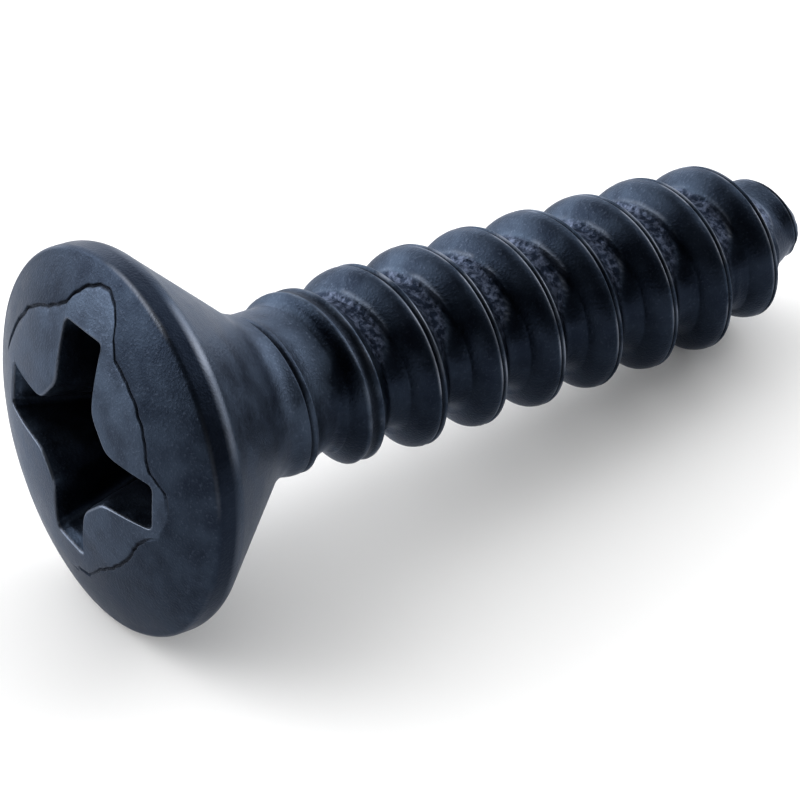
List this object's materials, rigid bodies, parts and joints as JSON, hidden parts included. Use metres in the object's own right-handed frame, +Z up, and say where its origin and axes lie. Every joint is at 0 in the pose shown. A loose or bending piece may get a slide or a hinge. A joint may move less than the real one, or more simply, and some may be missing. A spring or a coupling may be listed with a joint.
{
  "type": "sheet metal screw",
  "caption": "Raised countersunk sheet metal screw with a cross recess, short plain neck, coarse right-hand thread and a blunt rounded point, lying on its side.",
  "frame": {"origin": "on the screw's axis, in the plane where the head's rim meets its conical underside", "axes": "+X towards the point, which dips by about 8 degrees; +Z up; the screw lies on its rim and its thread"},
  "size_m": [0.0157, 0.0068, 0.0068],
  "materials": {
    "blackened_steel": "satin blue-black phosphate on cold-headed and thread-rolled steel"
  },
  "bodies": {
    "root": {"screw": "blackened_steel"}
  },
  "joints": []
}
